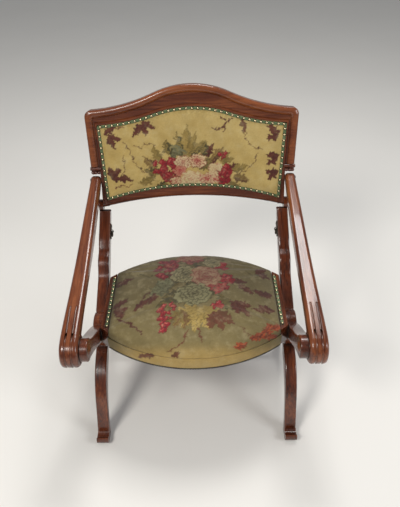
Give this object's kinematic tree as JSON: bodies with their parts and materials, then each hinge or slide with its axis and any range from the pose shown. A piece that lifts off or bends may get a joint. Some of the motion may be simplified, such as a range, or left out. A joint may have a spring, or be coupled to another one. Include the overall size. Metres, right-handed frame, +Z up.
{
  "type": "folding curule armchair",
  "caption": "Folding armchair with crossed legs at each side, sloping scrolled arms, an arched padded back and a bowed padded seat in floral cloth.",
  "frame": {"origin": "on the floor under the middle of the chair's width and depth", "axes": "+Z up, +Y towards the back, +X to the right as seen from the front"},
  "size_m": [0.671, 0.6964, 0.8739],
  "materials": {
    "polished_wood": "shellac polished reddish mahogany",
    "floral_cloth": "woven cloth with a floral pattern",
    "plain_cloth": "plain woven cloth",
    "webbing": "jute webbing",
    "gimp_braid": "woven braid",
    "brass": "aged brass",
    "iron": "browned iron"
  },
  "bodies": {
    "front_frame": {"tie_rail": "polished_wood", "seat_front_rail": "polished_wood", "seat_back_rail": "polished_wood", "seat_front_cover": "floral_cloth", "seat_back_cover": "floral_cloth", "seat_webbing": "webbing", "seat_cushion": "floral_cloth", "left_front_leg": "polished_wood", "left_pivot_bolt": "iron", "left_back_pin": "iron", "left_catch_plate": "iron", "left_seat_rail": "polished_wood", "left_seat_spacer": "polished_wood", "left_seat_gimp": "gimp_braid", "left_seat_nails": "brass", "right_front_leg": "polished_wood", "right_pivot_bolt": "iron", "right_back_pin": "iron", "right_catch_plate": "iron", "right_seat_rail": "polished_wood", "right_seat_spacer": "polished_wood", "right_seat_gimp": "gimp_braid", "right_seat_nails": "brass"},
    "rear_frame": {"rear_stretcher": "polished_wood", "seat_rest_rod": "iron", "left_rear_leg": "polished_wood", "left_scroll_cap": "polished_wood", "right_rear_leg": "polished_wood", "right_scroll_cap": "polished_wood"},
    "back": {"crest_rail": "polished_wood", "lower_back_rail": "polished_wood", "back_cushion": "floral_cloth", "back_gimp": "gimp_braid", "back_nails": "brass", "back_webbing": "webbing", "outer_back_cloth": "plain_cloth", "left_stile": "polished_wood", "left_arm_pin": "iron", "right_stile": "polished_wood", "right_arm_pin": "iron"},
    "left_arm": {"left_arm": "polished_wood"},
    "left_catch_ring": {"left_catch_ring": "iron"},
    "right_arm": {"right_arm": "polished_wood"},
    "right_catch_ring": {"right_catch_ring": "iron"}
  },
  "joints": [
    {"name": "fold", "type": "hinge", "parent": "front_frame", "child": "rear_frame", "pos_m": [0, -0.07424, 0.275], "axis": [1, 0, 0], "range_deg": [0, 32]},
    {"name": "back_fold", "type": "hinge", "parent": "front_frame", "child": "back", "pos_m": [0, 0.23476, 0.518], "axis": [1, 0, 0], "range_deg": [0, 74]},
    {"name": "left_arm_fold", "type": "hinge", "parent": "back", "child": "left_arm", "pos_m": [-0.3, 0.24722, 0.59943], "axis": [1, 0, 0], "range_deg": [-62.8, 0]},
    {"name": "left_ring_swing", "type": "hinge", "parent": "front_frame", "child": "left_catch_ring", "pos_m": [-0.2586, 0.18069, 0.45155], "axis": [0, -1, 0], "range_deg": [0, 80]},
    {"name": "right_arm_fold", "type": "hinge", "parent": "back", "child": "right_arm", "pos_m": [0.3, 0.24722, 0.59943], "axis": [1, 0, 0], "range_deg": [-62.8, 0]},
    {"name": "right_ring_swing", "type": "hinge", "parent": "front_frame", "child": "right_catch_ring", "pos_m": [0.2586, 0.18069, 0.45155], "axis": [0, 1, 0], "range_deg": [0, 80]}
  ],
  "couplings": [
    {"joint": "back_fold", "follows": "fold", "ratio": 2.31},
    {"joint": "left_arm_fold", "follows": "fold", "ratio": -1.957},
    {"joint": "right_arm_fold", "follows": "fold", "ratio": -1.957}
  ]
}
